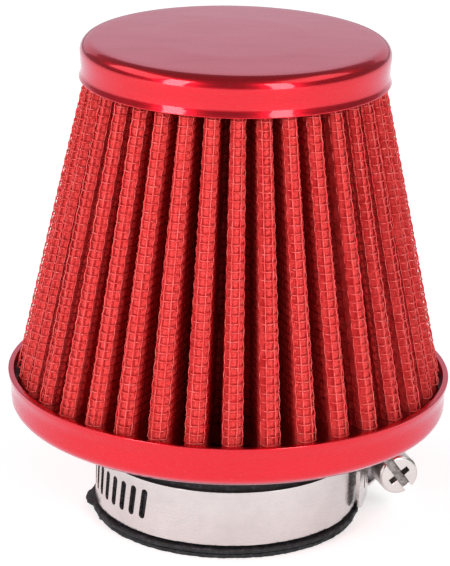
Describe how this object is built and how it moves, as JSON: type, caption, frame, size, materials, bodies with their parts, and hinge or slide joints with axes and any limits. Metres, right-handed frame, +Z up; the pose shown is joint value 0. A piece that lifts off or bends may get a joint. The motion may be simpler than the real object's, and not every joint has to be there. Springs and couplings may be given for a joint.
{
  "type": "air filter",
  "caption": "Conical pleated cotton gauze air filter with a metal cap, a metal base tray, wire screens and a rubber neck held by a worm drive hose clamp.",
  "frame": {"origin": "centre of the neck's mouth, in the plane of its rim", "axes": "+Z up the filter axis from the neck to the cap; -Y is the front that the plain part of the clamp band faces; the clamp's screw is on the +X side"},
  "size_m": [0.069, 0.069, 0.0766],
  "materials": {
    "anodised_red": "red anodised, satin",
    "oiled_gauze": "soft red cotton gauze",
    "screen_wire": "red coated woven wire",
    "neck_rubber": "moulded, slightly rough",
    "sealant": "cast, dark red",
    "clip_steel": "plain",
    "clamp_steel": "bright rolled strip",
    "screw_steel": "zinc plated"
  },
  "bodies": {
    "filter": {"rubber_neck": "neck_rubber", "base_ring": "anodised_red", "base_sealant": "sealant", "top_cap": "anodised_red", "cap_sealant": "sealant", "outer_screen": "screen_wire", "gauze_layer_1": "oiled_gauze", "gauze_layer_2": "oiled_gauze", "gauze_layer_3": "oiled_gauze", "gauze_layer_4": "oiled_gauze", "inner_screen": "screen_wire", "seam_clip": "clip_steel"},
    "clamp": {"clamp_band": "clamp_steel", "clamp_housing": "clamp_steel", "clamp_saddle": "clamp_steel"},
    "screw": {"clamp_screw": "screw_steel"}
  },
  "joints": [
    {"name": "clamp_swivel", "type": "hinge", "parent": "filter", "child": "clamp", "pos_m": [0, 0, 0.00645], "axis": [0, 0, 1], "continuous": true},
    {"name": "screw_turn", "type": "hinge", "parent": "clamp", "child": "screw", "pos_m": [0.02446, 0.00771, 0.00645], "axis": [0.3007, -0.9537, 0], "continuous": true}
  ]
}
